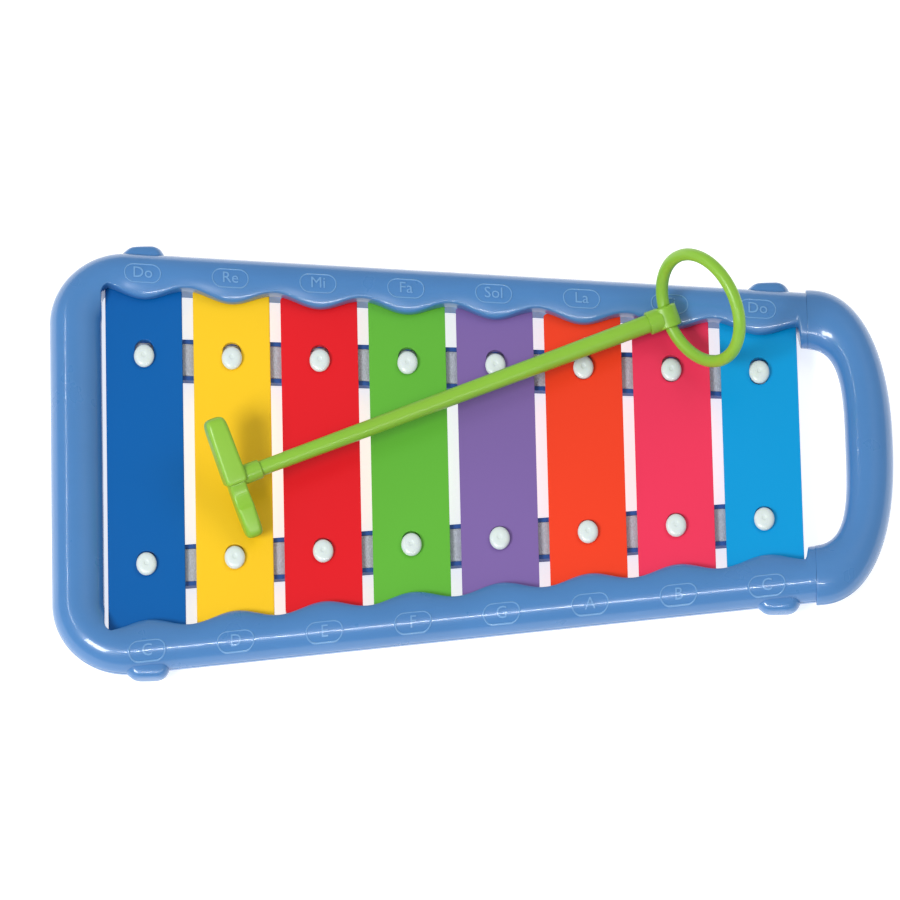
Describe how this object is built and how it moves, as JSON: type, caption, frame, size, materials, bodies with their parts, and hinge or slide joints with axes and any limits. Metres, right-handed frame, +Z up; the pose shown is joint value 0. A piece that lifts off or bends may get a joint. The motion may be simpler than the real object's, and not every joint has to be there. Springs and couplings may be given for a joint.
{
  "type": "glockenspiel",
  "caption": "Toddler's glockenspiel: coloured steel bars on felted rails inside a tapered blue tubular frame with a carry handle, and a green mallet with a ring lying on the bars",
  "frame": {"origin": "on the surface it rests on, at the middle of the outer box", "axes": "+X along the length, from the longest bar to the handle; +Y to the back; +Z up"},
  "size_m": [0.331, 0.1832, 0.0611],
  "materials": {
    "frame_blue": "glossy moulded plastic",
    "carrier_blue": "satin moulded plastic",
    "felt_grey": "pressed felt",
    "peg_white": "glossy moulded plastic",
    "screw_steel": "zinc plated",
    "mallet_green": "satin moulded plastic",
    "bar_dark_blue": "glossy baked enamel",
    "bar_yellow": "glossy baked enamel",
    "bar_red": "glossy baked enamel",
    "bar_green": "glossy baked enamel",
    "bar_purple": "glossy baked enamel",
    "bar_orange": "glossy baked enamel",
    "bar_pink": "glossy baked enamel",
    "bar_sky_blue": "glossy baked enamel"
  },
  "bodies": {
    "frame": {"frame_upper": "frame_blue", "frame_lower": "frame_blue", "handle_upper": "frame_blue", "handle_lower": "frame_blue", "bar_carrier": "carrier_blue", "felt_front": "felt_grey", "felt_back": "felt_grey", "pegs_front": "peg_white", "pegs_back": "peg_white", "side_plug_left_front": "frame_blue", "side_plug_left_back": "frame_blue", "side_plug_right_front": "frame_blue", "side_plug_right_back": "frame_blue", "frame_screws": "screw_steel"},
    "bar_1": {"bar_1_c": "bar_dark_blue"},
    "bar_2": {"bar_2_d": "bar_yellow"},
    "bar_3": {"bar_3_e": "bar_red"},
    "bar_4": {"bar_4_f": "bar_green"},
    "bar_5": {"bar_5_g": "bar_purple"},
    "bar_6": {"bar_6_a": "bar_orange"},
    "bar_7": {"bar_7_b": "bar_pink"},
    "bar_8": {"bar_8_c": "bar_sky_blue"},
    "mallet": {"mallet_head": "mallet_green", "mallet_shaft": "mallet_green", "mallet_eye": "mallet_green"},
    "ring": {"mallet_ring": "mallet_green"}
  },
  "joints": [
    {"name": "bar_1_float", "type": "slide", "parent": "frame", "child": "bar_1", "axis": [0, 0, 1], "range_m": [0, 0.0004]},
    {"name": "bar_2_float", "type": "slide", "parent": "frame", "child": "bar_2", "axis": [0, 0, 1], "range_m": [0, 0.0004]},
    {"name": "bar_3_float", "type": "slide", "parent": "frame", "child": "bar_3", "axis": [0, 0, 1], "range_m": [0, 0.0004]},
    {"name": "bar_4_float", "type": "slide", "parent": "frame", "child": "bar_4", "axis": [0, 0, 1], "range_m": [0, 0.0004]},
    {"name": "bar_5_float", "type": "slide", "parent": "frame", "child": "bar_5", "axis": [0, 0, 1], "range_m": [0, 0.0004]},
    {"name": "bar_6_float", "type": "slide", "parent": "frame", "child": "bar_6", "axis": [0, 0, 1], "range_m": [0, 0.0004]},
    {"name": "bar_7_float", "type": "slide", "parent": "frame", "child": "bar_7", "axis": [0, 0, 1], "range_m": [0, 0.0004]},
    {"name": "bar_8_float", "type": "slide", "parent": "frame", "child": "bar_8", "axis": [0, 0, 1], "range_m": [0, 0.0004]},
    {"name": "mallet_lift", "type": "slide", "parent": "frame", "child": "mallet", "axis": [0, 0, 1], "range_m": [0, 0.12]},
    {"name": "ring_swing", "type": "hinge", "parent": "mallet", "child": "ring", "pos_m": [0.078, 0.0516, 0.0216], "axis": [-0.3173, 0.8494, 0.4216], "range_deg": [-85, 24]}
  ]
}
